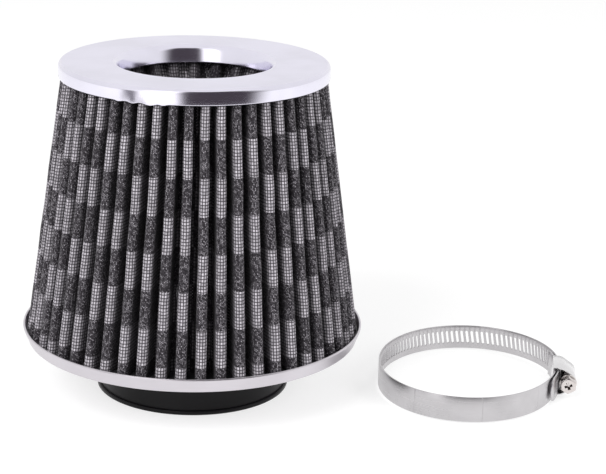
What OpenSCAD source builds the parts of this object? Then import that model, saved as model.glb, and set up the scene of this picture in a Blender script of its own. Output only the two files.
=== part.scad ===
// Cone air filter with an inverted inner cone, and its loose worm-drive hose clamp.
// Z is up and is the filter's axis. The neck's end face stands on z = 0, and the clamp
// lies on its edge beside the filter.

/* [Overall] */
// Outer radius of the base ring's lip
base_r = 78; // [72:0.5:96]
// Outer radius of the top ring
top_r = 60.5; // [56:0.5:74]
// Height from the neck's end face to the top ring's flat top
filter_h = 151.8; // [125:0.1:190]

/* [Neck] */
// Radius of the neck's bore
neck_bore_r = 38; // [30:0.5:46]
// Wall thickness of the neck
neck_wall = 5.1; // [3.5:0.1:6.5]
// Height of the neck below the base ring
neck_h = 23.7; // [14:0.1:32]
// How far the end bead stands out of the neck's wall
bead_out = 1.2; // [0.4:0.1:1.8]
// Height of the end bead
bead_h = 2; // [1.4:0.1:4]
// Width of the flange that the base traps
neck_flange_w = 7; // [5:0.1:10]
// Thickness of the trapped flange
neck_flange_t = 2; // [1.5:0.1:3]

/* [Base] */
// Height of the base ring's skirt
base_ring_h = 6.7; // [5.4:0.1:10]
// How far the skirt flares out from its lower edge to its lip
base_flare = 1.3; // [0:0.1:3]
// Radius of the rolled lip
base_lip_r = 0.6; // [0.5:0.05:0.9]
// Outer radius of the skirt's lower edge rounding
base_edge_r = 1.2; // [0.9:0.1:2.5]
// Sheet thickness of the base ring
base_sheet_t = 0.6; // [0.4:0.05:0.8]
// Thickness of the retaining washer over the neck's flange
washer_t = 0.8; // [0.5:0.1:1.2]
// Depth of sealant that holds the lower pleat ends
base_sealant_t = 3.6; // [3.4:0.1:4.4]

/* [Top] */
// Height of the top ring's skirt
top_skirt_h = 6.6; // [5.4:0.1:9]
// Outer radius of the top ring's edge rounding
top_edge_r = 1.9; // [1.5:0.1:4]
// Radius of the throat's lower end
throat_r = 32.4; // [27:0.1:34]
// Lean of the throat's wall, in degrees off the axis
throat_lean = 17; // [5:1:20]
// Radius of the rolled lip into the throat
throat_lip_r = 3.2; // [2:0.1:4.5]
// Depth of the throat below the flat top
throat_depth = 7.6; // [6:0.1:10]
// Sheet thickness of the top ring
top_sheet_t = 0.8; // [0.5:0.05:1]
// Depth of sealant that holds the upper pleat ends
top_sealant_t = 2.5; // [2.4:0.1:3.4]

/* [Pleats] */
// Pleats round the outer cone
pleat_count = 54; // [40:1:64]
// Depth of the outer cone's pleats
pleat_depth = 13; // [9:0.1:13]
// Turn of the pleats from the lower end to the upper one
pleat_turn = 2; // [0:0.5:4]
// Direction of the first pleat's ridge at its upper end
pleat_first = -85.4; // [-180:0.1:180]
// Thickness of the cotton fabric
fabric_t = 0.7; // [0.5:0.05:0.8]
// Thickness of the wire screen that backs the fabric
screen_t = 0.3; // [0.2:0.05:0.35]
// Gap between the outer pleats' tips and the rings' skirts
pleat_gap = 0.3; // [0.2:0.05:0.5]

/* [Inner cone] */
// Pleats round the inner cone
cone_pleat_count = 22; // [18:1:24]
// Depth of the inner cone's pleats
cone_pleat_depth = 7; // [5:0.1:7.4]
// Height of the inner cone
cone_h = 42.5; // [25:0.5:46]
// Lean of the inner cone, in width per height
cone_lean = 0.55; // [0.3:0.01:0.58]
// Thickness of the end cup's sheet
cup_t = 0.6; // [0.4:0.05:1]
// Depth of sealant in the end cup
cup_sealant_t = 2; // [1.5:0.1:4]

/* [Seam clips] */
// Width of a seam clip
clip_w = 6; // [4:0.1:7]
// Thickness of a seam clip
clip_t = 0.5; // [0.3:0.05:0.7]

/* [Clamp] */
// Mean outer radius of the clamp's loop
clamp_r = 44.7; // [42:0.1:56]
// How far the loop's long and short radii differ from the mean
clamp_oval = 3; // [0:0.1:3.5]
// Direction of the loop's long radius
clamp_oval_az = 73.1; // [0:0.1:180]
// Place of the loop's centre along X
clamp_x = 128.75; // [125:0.25:180]
// Place of the loop's centre along Y
clamp_y = -6.25; // [-40:0.25:40]
// Direction of the screw housing from the loop's centre
housing_az = -6; // [-30:0.5:30]
// Width of the band
band_w = 11.6; // [9:0.1:14]
// Thickness of the band
band_t = 0.6; // [0.5:0.05:0.8]
// Gap between the band's two layers
layer_gap = 0.9; // [0.8:0.05:1.2]
// Width of a slot
slot_w = 1.15; // [0.8:0.05:1.4]
// Height of a slot
slot_h = 6.2; // [5:0.1:7]
// Slant of the slots
slot_slant = 9; // [0:1:12]

/* [Clamp housing and screw] */
// Length of the housing
housing_l = 16.5; // [14:0.5:20]
// Sheet thickness of the housing
housing_t = 0.6; // [0.5:0.05:0.9]
// Clear gap between the band's edges and the housing
edge_gap = 0.3; // [0.3:0.05:0.6]
// Clear gap between the band and the screw's thread
thread_gap = 0.7; // [0.6:0.05:1]
// Crest radius of the screw's thread
thread_r = 3; // [2.7:0.1:3.6]
// Depth of the screw's thread
thread_depth = 0.6; // [0.4:0.05:0.7]
// Radius of the screw's journals
journal_r = 1.8; // [1.4:0.05:1.8]
// Running clearance of the journals in the housing
journal_fit = 0.05; // [0.02:0.01:0.09]
// Width across the head's corners and its washer
head_w = 8; // [7:0.1:8.2]
// Height of the head's hexagon
head_h = 3.8; // [3:0.1:5]
// Thickness of the head's washer
head_washer_t = 1.2; // [0.8:0.1:1.6]

/* [Hidden] */
$fn = 96;

// Levels
base_floor_z = neck_h + base_sheet_t;
base_lip_z = neck_h + base_ring_h;
pleat_z0 = base_floor_z + base_sealant_t;
top_under_z = filter_h - top_sheet_t;
pleat_z1 = top_under_z - top_sealant_t;
throat_end_z = filter_h - throat_depth;
cone_end_z = pleat_z1 - cone_h;
cup_floor_z = cone_end_z - cup_sealant_t;

// Radii
neck_r = neck_bore_r + neck_wall;
neck_flange_r = neck_r + neck_flange_w;
throat_lip_z = filter_h - throat_lip_r;
throat_wall_z = throat_lip_z + throat_lip_r * sin(throat_lean);
throat_wall_r = throat_r + (throat_wall_z - throat_end_z) * tan(throat_lean);
throat_lip_x = throat_wall_r + throat_lip_r * cos(throat_lean);
neck_fit = 0.1;
washer_overlap = 2;
base_low_r = base_r - base_lip_r - base_flare;
sheet_pack_t = fabric_t + screen_t;
clip_gap = 0.8;
throat_gap = 1.85;
cone_r1 = throat_r + top_sheet_t + throat_gap + cone_lean * (pleat_z1 - throat_end_z);
cone_r0 = cone_r1 - cone_lean * cone_h;
cup_gap = 0.3;

// The base ring's outer face widens evenly from its lower edge to its lip.
function skirt_r(z) = base_low_r + base_flare * (z - neck_h) / base_ring_h;
pleat_r0 = skirt_r(pleat_z0) - base_sheet_t - pleat_gap;
// The leaning ridges clear the lower end of the top ring's skirt.
skirt_share = (pleat_z1 - filter_h + top_skirt_h) / (pleat_z1 - pleat_z0);
pleat_r1 = (top_r - top_sheet_t - pleat_gap - skirt_share * pleat_r0) / (1 - skirt_share);

// Shares of the pitch that a pleat's ridge and valley take
ridge_share = 0.5;
valley_share = 0.22;

// How far a cutting shape runs past what it cuts
cut_over = 1;

// Clamp. Angles along the strip start at the middle of the housing.
slot_angle = 3;
slot_from = 58 * slot_angle;
slot_to = 128 * slot_angle;
hinge_first = 15 * slot_angle;
hinge_step = 13 * slot_angle;
strip_head = -23;
strip_tail = 390;
segment_angle = 3;
layer_step = band_t + layer_gap;
clamp_lift = housing_t + edge_gap;
housing_end_t = 0.8;
axial_gap = 0.3;
thread_pitch = slot_angle * PI / 180 * clamp_r;
cross_w = 1.2;
cross_l = 5;
cross_depth = 2;
tail_corner = 6;
screw_x = thread_gap + thread_r;
tunnel_r = thread_r + edge_gap;
strip_sag = housing_l * housing_l / (8 * clamp_r);
cavity_x = -layer_step - band_t - strip_sag;

function arc(cx, cy, r, from, to, n = 12) =
    [for (i = [0:n]) [cx + r * cos(from + (to - from) * i / n), cy + r * sin(from + (to - from) * i / n)]];
function degrees(length, r) = length / r * 180 / PI;
function reversed(list) = [for (i = [len(list) - 1:-1:0]) list[i]];

// ---- Pleats ----

// One closed ring of fold corners, four to a pleat. The sheet's outer face is at inset 0.
function pleat_ring(z, ridge_r, depth, count, first, inset) =
    let (
        pitch = 360 / count,
        valley_r = ridge_r - depth + sheet_pack_t,
        ridge = ridge_share * pitch / 2 - degrees(inset, ridge_r),
        valley = valley_share * pitch / 2 + degrees(inset, valley_r)
    )
    [for (k = [0:count - 1], corner = [0:3])
        let (
            on_ridge = corner < 2,
            side = corner % 2 == 0 ? -1 : 1,
            a = first + k * pitch + (on_ridge ? side * ridge : pitch / 2 + side * valley),
            r = (on_ridge ? ridge_r : valley_r) - inset
        )
        [r * cos(a), r * sin(a), z]];

// A pleated sheet between two levels, from one inset to a deeper one.
module pleated_sheet(z0, z1, r0, r1, depth, count, first0, first1, inset0, inset1) {
    n = 4 * count;
    rings = concat(
        pleat_ring(z0, r0, depth, count, first0, inset0),
        pleat_ring(z1, r1, depth, count, first1, inset0),
        pleat_ring(z1, r1, depth, count, first1, inset1),
        pleat_ring(z0, r0, depth, count, first0, inset1)
    );
    // Both faces are split along the same diagonals, so that sheets lie flush on each other.
    faces = [for (j = [0:3], i = [0:n - 1], half = [0, 1])
        let (
            here = j * n,
            next = (j + 1) % 4 * n,
            i2 = (i + 1) % n
        )
        j == 2
            ? (half == 0 ? [here + i, next + i, here + i2] : [next + i, next + i2, here + i2])
            : (half == 0 ? [here + i, next + i, next + i2] : [here + i, next + i2, here + i2])];
    polyhedron(points = rings, faces = faces, convexity = 20);
}

module outer_sheet(inset0, inset1)
    pleated_sheet(pleat_z0, pleat_z1, pleat_r0, pleat_r1, pleat_depth, pleat_count,
        pleat_first - pleat_turn, pleat_first, inset0, inset1);

module inner_sheet(inset0, inset1)
    pleated_sheet(cone_end_z, pleat_z1, cone_r0 + cone_pleat_depth, cone_r1 + cone_pleat_depth,
        cone_pleat_depth, cone_pleat_count, 0, 0, inset0, inset1);

module outer_fabric()
    color([0.10, 0.09, 0.11]) outer_sheet(0, fabric_t);

module outer_screen()
    color([0.55, 0.56, 0.58]) outer_sheet(fabric_t, sheet_pack_t);

module inner_screen()
    color([0.55, 0.56, 0.58]) inner_sheet(0, screen_t);

module inner_fabric()
    color([0.10, 0.09, 0.11]) inner_sheet(screen_t, sheet_pack_t);

// A flat strip in one fold. Its outer edge runs from radius r0 at z0 to r1 at z1, and the
// strip tilts sideways so that it turns by the angle given.
module seam_strip(r0, z0, r1, z1, w, turn) {
    side0 = -r0 * sin(turn / 2);
    side1 = r1 * sin(turn / 2);
    middle_z = (z0 + z1) / 2;
    translate([0, (side0 + side1) / 2, middle_z])
        rotate([90 - atan2(side1 - side0, z1 - z0), 0, 0])
            linear_extrude(clip_t, center = true) polygon([
                [r0 - w, z0 - middle_z],
                [r0, z0 - middle_z],
                [r1, z1 - middle_z],
                [r1 - w, z1 - middle_z]
            ]);
}

// The clips join the first and last pleats of each pack, and both sealants hold their ends.
module outer_seam_clip() {
    inset = sheet_pack_t + clip_gap;
    seam_az = pleat_first - pleat_turn / 2 + floor(pleat_count / 2) * 360 / pleat_count;
    color([0.7, 0.7, 0.7]) rotate([0, 0, seam_az])
        seam_strip(pleat_r0 - inset, pleat_z0, pleat_r1 - inset, pleat_z1, clip_w, pleat_turn);
}

module inner_seam_clip() {
    w = clip_w / 2;
    out = sheet_pack_t + clip_gap + w;
    color([0.7, 0.7, 0.7]) rotate([0, 0, 180 / cone_pleat_count])
        seam_strip(cone_r0 + out, cone_end_z, cone_r1 + out, pleat_z1, w, 0);
}

// ---- Filter body ----

// The flat top turns down outside into a skirt and inside into the throat.
module top_ring() {
    edge_x = top_r - top_edge_r;
    edge_z = filter_h - top_edge_r;
    outside = concat(
        [[top_r, filter_h - top_skirt_h]],
        arc(edge_x, edge_z, top_edge_r, 0, 90),
        arc(throat_lip_x, throat_lip_z, throat_lip_r, 90, 180 - throat_lean),
        [[throat_r, throat_end_z]]
    );
    inside = concat(
        [[top_r - top_sheet_t, filter_h - top_skirt_h]],
        arc(edge_x, edge_z, top_edge_r - top_sheet_t, 0, 90),
        arc(throat_lip_x, throat_lip_z, throat_lip_r - top_sheet_t, 90, 180 - throat_lean),
        [[throat_r + top_sheet_t / cos(throat_lean), throat_end_z]]
    );
    color([0.88, 0.87, 0.92]) rotate_extrude($fn = 128) polygon(concat(outside, reversed(inside)));
}

module top_sealant() {
    color([0.2, 0.2, 0.22]) rotate_extrude($fn = 128) polygon([
        [throat_lip_x, pleat_z1],
        [top_r - top_sheet_t, pleat_z1],
        [top_r - top_sheet_t, filter_h - top_edge_r],
        [top_r - top_edge_r, top_under_z],
        [throat_lip_x, top_under_z]
    ]);
}

// The cup and its sealant close the inner cone's lower end.
function cup_r(z) = cone_r0 + cone_pleat_depth + cup_gap + cone_lean * (z - cone_end_z);

module inner_cone_sealant() {
    color([0.2, 0.2, 0.22]) rotate_extrude() polygon([
        [0, cup_floor_z],
        [cup_r(cup_floor_z), cup_floor_z],
        [cup_r(cone_end_z), cone_end_z],
        [0, cone_end_z]
    ]);
}

module inner_cone_cup() {
    rim_z = cone_end_z + cup_sealant_t;
    color([0.75, 0.75, 0.77]) rotate_extrude() polygon([
        [0, cup_floor_z - cup_t],
        [cup_r(cup_floor_z - cup_t) + cup_t, cup_floor_z - cup_t],
        [cup_r(rim_z) + cup_t, rim_z],
        [cup_r(rim_z), rim_z],
        [cup_r(cup_floor_z), cup_floor_z],
        [0, cup_floor_z]
    ]);
}

module base_ring() {
    hole_r = neck_r + neck_fit;
    edge_in_r = base_edge_r - base_sheet_t;
    edge_x = base_low_r - base_edge_r;
    edge_z = neck_h + base_edge_r;
    lip_x = skirt_r(base_lip_z);
    outside = concat(
        [[hole_r, neck_h]],
        arc(edge_x, edge_z, base_edge_r, -90, 0, 8),
        [[lip_x, base_lip_z - base_lip_r]]
    );
    inside = concat(
        [[hole_r, base_floor_z]],
        arc(edge_x, edge_z, edge_in_r, -90, 0, 8),
        [[lip_x - base_sheet_t, base_lip_z - base_lip_r]]
    );
    color([0.84, 0.84, 0.85]) rotate_extrude($fn = 128) {
        polygon(concat(outside, reversed(inside)));
        translate([lip_x, base_lip_z - base_lip_r]) circle(r = base_lip_r, $fn = 32);
    }
}

module base_sealant() {
    inner_r = neck_flange_r + washer_overlap;
    color([0.2, 0.2, 0.22]) rotate_extrude($fn = 128) polygon([
        [inner_r, base_floor_z],
        [base_low_r - base_edge_r, base_floor_z],
        [skirt_r(neck_h + base_edge_r) - base_sheet_t - base_flare / base_ring_h * base_edge_r,
            neck_h + base_edge_r],
        [skirt_r(pleat_z0) - base_sheet_t - pleat_gap / 2, pleat_z0],
        [inner_r, pleat_z0]
    ]);
}

module neck_washer() {
    color([0.72, 0.72, 0.74])
        translate([0, 0, base_floor_z + neck_flange_t]) difference() {
            cylinder(r = neck_flange_r + washer_overlap, h = washer_t);
            translate([0, 0, -cut_over]) cylinder(r = neck_bore_r + neck_fit, h = washer_t + 2 * cut_over);
        }
}

module neck() {
    bead_r = neck_r + bead_out;
    bead_round = bead_h / 2;
    color([0.12, 0.12, 0.13]) difference() {
        rotate_extrude($fn = 128) polygon(concat(
            [[neck_bore_r - cut_over, 0]],
            arc(bead_r - bead_round / 2, bead_round / 2, bead_round / 2, -90, 0, 6),
            arc(bead_r - bead_round, bead_h - bead_round, bead_round, 0, 60, 6),
            [
                [neck_r, bead_h],
                [neck_r, base_floor_z],
                [neck_flange_r, base_floor_z],
                [neck_flange_r, base_floor_z + neck_flange_t],
                [neck_bore_r - cut_over, base_floor_z + neck_flange_t]
            ]
        ));
        translate([0, 0, -cut_over])
            cylinder(r = neck_bore_r, h = base_floor_z + neck_flange_t + 2 * cut_over, $fn = 128);
    }
}

// ---- Clamp ----

// The strip is a spiral. Its place is the angle u that it has run from the middle of the
// housing: the head end is below 0, and the tail comes back over it past 360.
function strip_az(u) = housing_az - u;
function strip_r(u) = clamp_r - band_t / 2
    + clamp_oval * cos(2 * (strip_az(u) - clamp_oval_az)) + layer_step * (u / 360 - 0.5);
function strip_point(u, out) = (strip_r(u) + out) * [cos(strip_az(u)), sin(strip_az(u))];

module band_strip(from, to) {
    steps = ceil((to - from) / segment_angle);
    places = [for (i = [0:steps]) from + (to - from) * i / steps];
    translate([clamp_x, clamp_y, clamp_lift]) linear_extrude(band_w) polygon(concat(
        [for (u = places) strip_point(u, band_t / 2)],
        [for (u = reversed(places)) strip_point(u, -band_t / 2)]
    ));
}

module band_slot(u) {
    place = strip_point(u, 0);
    translate([clamp_x + place[0], clamp_y + place[1], clamp_lift + band_w / 2])
        rotate([0, 0, strip_az(u)]) rotate([-slot_slant, 0, 0])
            cube([4 * band_t, slot_w, slot_h], center = true);
}

// A slot lies halfway between two multiples of the slot angle, so no joint line cuts one.
module band_with_slots(from, to)
    difference() {
        band_strip(from, to);
        for (u = [max(from, slot_from) + slot_angle / 2 : slot_angle : min(to, slot_to)])
            band_slot(u);
    }

// Corner cuts narrow the tail's tip.
module tail_notches()
    for (side = [0, 1]) {
        tip = strip_point(strip_tail, 0);
        translate([clamp_x + tip[0], clamp_y + tip[1], clamp_lift + side * band_w])
            rotate([0, 0, strip_az(strip_tail)]) rotate([45, 0, 0])
                cube([6 * band_t, tail_corner, tail_corner], center = true);
    }

function hinge_at(i) = hinge_first + hinge_step * (i - 1);

module clamp_band(i) {
    from = i == 1 ? strip_head : hinge_at(i - 1);
    to = i == 9 ? strip_tail : hinge_at(i);
    color([0.80, 0.80, 0.81]) difference() {
        if (i < 4)
            band_strip(from, to);
        else
            band_with_slots(from, to);
        if (i == 9)
            tail_notches();
    }
}

// The housing's frame: X points out of the loop, and the screw's head is towards -Y.
module at_housing() {
    r = strip_r(360) + band_t / 2;
    slope = -2 * clamp_oval * sin(2 * (housing_az - clamp_oval_az)) - layer_step / (2 * PI);
    translate([clamp_x + r * cos(housing_az), clamp_y + r * sin(housing_az), clamp_lift + band_w / 2])
        rotate([0, 0, housing_az - atan2(slope, r)]) children();
}

// Draws a section of X and Z, and runs it towards -Y from the place given.
module along_screw(from, length)
    translate([0, -from, 0]) rotate([90, 0, 0]) linear_extrude(length) children();

// Half of the angle that the tunnel's wall covers. Flat shoulders from a corner meet it there.
function tunnel_angle(corner, r) =
    atan2(corner[1], corner[0] - screw_x) - acos(r / norm(corner - [screw_x, 0]));

// A box round the strip that tapers into a tunnel round the screw.
module housing_section(low_x, high_x, w, r) {
    angle = tunnel_angle([high_x, w / 2], r);
    polygon(concat(
        [[low_x, -w / 2], [high_x, -w / 2]],
        arc(screw_x, 0, r, -angle, angle, 24),
        [[high_x, w / 2], [low_x, w / 2]]
    ));
}

module clamp_housing() {
    cavity_w = band_w + 2 * edge_gap;
    outer_w = cavity_w + 2 * housing_t;
    shoulder_x = thread_gap + housing_t / 2;
    color([0.86, 0.86, 0.87]) at_housing() {
        along_screw(-housing_l / 2, housing_l) difference() {
            housing_section(cavity_x - housing_t, shoulder_x, outer_w, tunnel_r + housing_t);
            housing_section(cavity_x, thread_gap, cavity_w, tunnel_r);
        }
        for (end = [-housing_l / 2, housing_l / 2 - housing_end_t])
            along_screw(end, housing_end_t) difference() {
                translate([screw_x, 0]) circle(r = tunnel_r + housing_t / 2);
                translate([screw_x, 0]) circle(r = journal_r + journal_fit);
                translate([thread_gap - 2 * tunnel_r, -tunnel_r - housing_t])
                    square(2 * [tunnel_r, tunnel_r + housing_t]);
            }
    }
}

module clamp_screw() {
    inside_l = housing_l - 2 * housing_end_t - 2 * axial_gap;
    turns = floor(inside_l / thread_pitch);
    rear = -housing_l / 2;
    front = housing_l / 2;
    thread_start = rear + housing_end_t + axial_gap;
    root_r = thread_r - thread_depth;
    flat = thread_pitch / 4;
    color([0.82, 0.82, 0.83]) at_housing() translate([screw_x, 0, 0]) rotate([90, 0, 0]) {
        translate([0, 0, rear]) cylinder(r = journal_r, h = housing_l + axial_gap);
        rotate_extrude() polygon(concat(
            [[0, thread_start], [root_r, thread_start]],
            [for (k = [0:turns - 1], step = [0:3])
                [step == 1 || step == 2 ? thread_r : root_r,
                    thread_start + k * thread_pitch + flat * (step + 0.5)]],
            [[root_r, thread_start + inside_l], [0, thread_start + inside_l]]
        ));
        translate([0, 0, front + axial_gap]) cylinder(r = head_w / 2, h = head_washer_t);
        translate([0, 0, front + axial_gap + head_washer_t]) difference() {
            cylinder(r = head_w / 2, h = head_h, $fn = 6);
            for (turn = [0, 90])
                rotate([0, 0, turn]) translate([-cross_l / 2, -cross_w / 2, head_h - cross_depth])
                    cube([cross_l, cross_w, 2 * cross_depth]);
        }
    }
}

top_ring();
top_sealant();
outer_fabric();
outer_screen();
outer_seam_clip();
inner_fabric();
inner_screen();
inner_seam_clip();
inner_cone_sealant();
inner_cone_cup();
base_ring();
base_sealant();
neck_washer();
neck();
clamp_housing();
clamp_screw();
clamp_band(1);  // clamp_band_1
clamp_band(2);  // clamp_band_2
clamp_band(3);  // clamp_band_3
clamp_band(4);  // clamp_band_4
clamp_band(5);  // clamp_band_5
clamp_band(6);  // clamp_band_6
clamp_band(7);  // clamp_band_7
clamp_band(8);  // clamp_band_8
clamp_band(9);  // clamp_band_9
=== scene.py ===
"""Looks of a cone air filter and its loose hose clamp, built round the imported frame."""
import math

import bmesh
import bpy
from mathutils import Matrix, Vector


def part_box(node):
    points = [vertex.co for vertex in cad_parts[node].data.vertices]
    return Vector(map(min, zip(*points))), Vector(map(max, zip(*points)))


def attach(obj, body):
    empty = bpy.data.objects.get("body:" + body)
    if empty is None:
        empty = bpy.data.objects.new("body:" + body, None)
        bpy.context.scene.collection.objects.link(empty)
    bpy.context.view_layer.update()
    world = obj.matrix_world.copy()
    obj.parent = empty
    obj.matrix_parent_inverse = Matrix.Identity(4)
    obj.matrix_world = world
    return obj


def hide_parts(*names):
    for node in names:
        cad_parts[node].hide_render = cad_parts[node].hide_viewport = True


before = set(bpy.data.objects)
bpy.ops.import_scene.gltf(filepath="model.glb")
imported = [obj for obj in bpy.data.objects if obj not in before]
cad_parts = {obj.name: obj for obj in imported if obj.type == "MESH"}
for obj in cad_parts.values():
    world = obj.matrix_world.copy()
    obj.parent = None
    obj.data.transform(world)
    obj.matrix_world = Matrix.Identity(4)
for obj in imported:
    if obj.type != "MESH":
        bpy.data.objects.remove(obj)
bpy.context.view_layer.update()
MM = 0.001


# ---------------------------------------------------------------- node trees

class Value:
    """A node socket that takes part in sums."""

    def __init__(self, tree, socket):
        self.tree = tree
        self.socket = socket

    def __add__(self, other):
        return self.tree.maths("ADD", self, other)

    def __radd__(self, other):
        return self.tree.maths("ADD", other, self)

    def __sub__(self, other):
        return self.tree.maths("SUBTRACT", self, other)

    def __rsub__(self, other):
        return self.tree.maths("SUBTRACT", other, self)

    def __mul__(self, other):
        return self.tree.maths("MULTIPLY", self, other)

    def __truediv__(self, other):
        return self.tree.maths("DIVIDE", self, other)

    def __pow__(self, other):
        return self.tree.maths("POWER", self, other)

    def __mod__(self, other):
        return self.tree.maths("FLOORED_MODULO", self, other)

    def __abs__(self):
        return self.tree.maths("ABSOLUTE", self)

    def floor(self):
        return self.tree.maths("FLOOR", self)

    def fraction(self):
        return self.tree.maths("FRACT", self)

    def sine(self):
        return self.tree.maths("SINE", self)

    def cosine(self):
        return self.tree.maths("COSINE", self)

    def sign(self):
        return self.tree.maths("SIGN", self)

    def at_least(self, other):
        return self.tree.maths("MAXIMUM", self, other)

    def at_most(self, other):
        return self.tree.maths("MINIMUM", self, other)

    def ramp(self, start, end):
        """0 at start and 1 at end, eased between them."""
        node = self.tree.add("ShaderNodeMapRange", {"interpolation_type": "SMOOTHSTEP"},
                             {0: self, 1: start, 2: end, 3: 0.0, 4: 1.0})
        return node.out(0)


class Node:
    """A node that hands out its outputs as values."""

    def __init__(self, tree, node):
        self.tree = tree
        self.node = node

    def out(self, key=0):
        return Value(self.tree, self.node.outputs[key])


class Tree:
    """A node tree that is written as sums and named nodes."""

    def __init__(self, node_tree):
        self.node_tree = node_tree

    def add(self, kind, settings=None, values=None):
        """Makes a node, gives it its settings, and then fills or links its sockets."""
        node = self.node_tree.nodes.new(kind)
        for name, setting in (settings or {}).items():
            setattr(node, name, setting)
        for key, value in (values or {}).items():
            self.fill(node.inputs[key], value)
        return Node(self, node)

    def fill(self, socket, value):
        if isinstance(value, Value):
            self.node_tree.links.new(value.socket, socket)
        elif isinstance(value, (tuple, list)) and len(value) == 3 and len(socket.default_value) == 4:
            socket.default_value = (*value, 1.0)
        else:
            socket.default_value = value

    def maths(self, operation, *values):
        return self.add("ShaderNodeMath", {"operation": operation}, dict(enumerate(values))).out()

    def vector(self, x, y, z):
        return self.add("ShaderNodeCombineXYZ", None, {0: x, 1: y, 2: z}).out()

    def parts(self, vector):
        node = self.add("ShaderNodeSeparateXYZ", None, {0: vector})
        return node.out(0), node.out(1), node.out(2)

    def noise(self, vector, scale, detail):
        values = {"Vector": vector, "Scale": scale, "Detail": detail}
        return self.add("ShaderNodeTexNoise", None, values).out(0)

    def colour(self, factor, low, high):
        """The colour that lies at factor between low and high."""
        return self.add("ShaderNodeMix", {"data_type": "RGBA"}, {0: factor, 6: low, 7: high}).out(2)

    def between(self, factor, low, high):
        """The number that lies at factor between low and high."""
        return self.add("ShaderNodeMix", {"data_type": "FLOAT"}, {0: factor, 2: low, 3: high}).out(0)


# ---------------------------------------------------------------- materials

def new_surface(name):
    """A material with its tree and its Principled shader."""
    material = bpy.data.materials.new(name)
    material.use_nodes = True
    tree = Tree(material.node_tree)
    shader = material.node_tree.nodes["Principled BSDF"]
    return material, tree, shader


def set_constants(shader, **constants):
    for name, value in constants.items():
        shader.inputs[name.replace("_", " ")].default_value = value


def own_place(tree):
    return tree.add("ShaderNodeTexCoord").out("Object")


def relief(tree, shader, height, distance, strength):
    values = {"Height": height, "Distance": distance, "Strength": strength}
    tree.fill(shader.inputs["Normal"], tree.add("ShaderNodeBump", None, values).out())


def spun_metal(name, colour, flat_roughness, edge_roughness):
    """Sheet metal spun to shape: the flats are satin and the rolled edges are polished."""
    material, tree, shader = new_surface(name)
    place = own_place(tree)
    x, y, z = tree.parts(place)
    radius = tree.maths("SQRT", x * x + y * y)
    facing = tree.parts(tree.add("ShaderNodeTexCoord").out("Normal"))[2]
    flat = facing.ramp(0.90, 0.995)
    cloud = tree.noise(place, 45.0, 3.0)
    lathe_lines = tree.vector(radius * 900.0, z * 900.0, tree.maths("ARCTAN2", y, x))
    turning = tree.noise(lathe_lines, 1.0, 2.0)
    roughness = tree.between(flat, edge_roughness, flat_roughness) + (cloud - 0.5) * 0.06
    tree.fill(shader.inputs["Roughness"], roughness)
    darker = tuple(0.93 * c for c in colour)
    tree.fill(shader.inputs["Base Color"], tree.colour(cloud.ramp(0.3, 0.7), darker, colour))
    relief(tree, shader, turning, 0.00001, 0.25)
    set_constants(shader, Metallic=1.0)
    return material


def rolled_steel(name, colour, roughness, grain=(25.0, 25.0, 1600.0), recess_shade=None):
    """Steel with fine lines and a few soft clouds. Faces marked as a recess take a painted shade
    colour.
    """
    material, tree, shader = new_surface(name)
    place = own_place(tree)
    lines = tree.add("ShaderNodeMapping", None, {"Vector": place, "Scale": grain}).out()
    streak = tree.noise(lines, 1.0, 3.0)
    cloud = tree.noise(place, 60.0, 3.0)
    tree.fill(shader.inputs["Roughness"], roughness + (streak - 0.5) * 0.18 + (cloud - 0.5) * 0.10)
    darker = tuple(0.86 * c for c in colour)
    paint = tree.colour(cloud.ramp(0.25, 0.75), darker, colour)
    if recess_shade:
        # Painted shade: faces in the recess are coloured darker and browner.
        mark = tree.add("ShaderNodeAttribute", {"attribute_name": "recess"}).out("Fac")
        paint = tree.colour(mark, paint, recess_shade)
    tree.fill(shader.inputs["Base Color"], paint)
    relief(tree, shader, streak, 0.00001, 0.35)
    set_constants(shader, Metallic=1.0)
    return material


def moulded_rubber(name, colour, roughness, grain_scale=2600.0, shine=0.5):
    """Satin rubber with a fine skin and a few paler worn patches."""
    material, tree, shader = new_surface(name)
    place = own_place(tree)
    grain = tree.noise(place, grain_scale, 3.0)
    cloud = tree.noise(place, 38.0, 4.0)
    paler = tuple(1.9 * c for c in colour)
    tree.fill(shader.inputs["Base Color"], tree.colour(cloud.ramp(0.45, 0.8), colour, paler))
    tree.fill(shader.inputs["Roughness"], roughness + (cloud - 0.5) * 0.15)
    relief(tree, shader, grain, 0.00004, 0.4)
    set_constants(shader, Specular_IOR_Level=shine)
    return material


# The check: the lower edge of its first row, a row's height and the pleats in one cell
CHECK_LOW_Z = 34.2 * MM
CHECK_ROW = 16.04 * MM
CHECK_PLEATS = 2.0
# Spacing of the threads
THREAD_ACROSS = 1.28 * MM
THREAD_DOWN = 1.42 * MM


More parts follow.
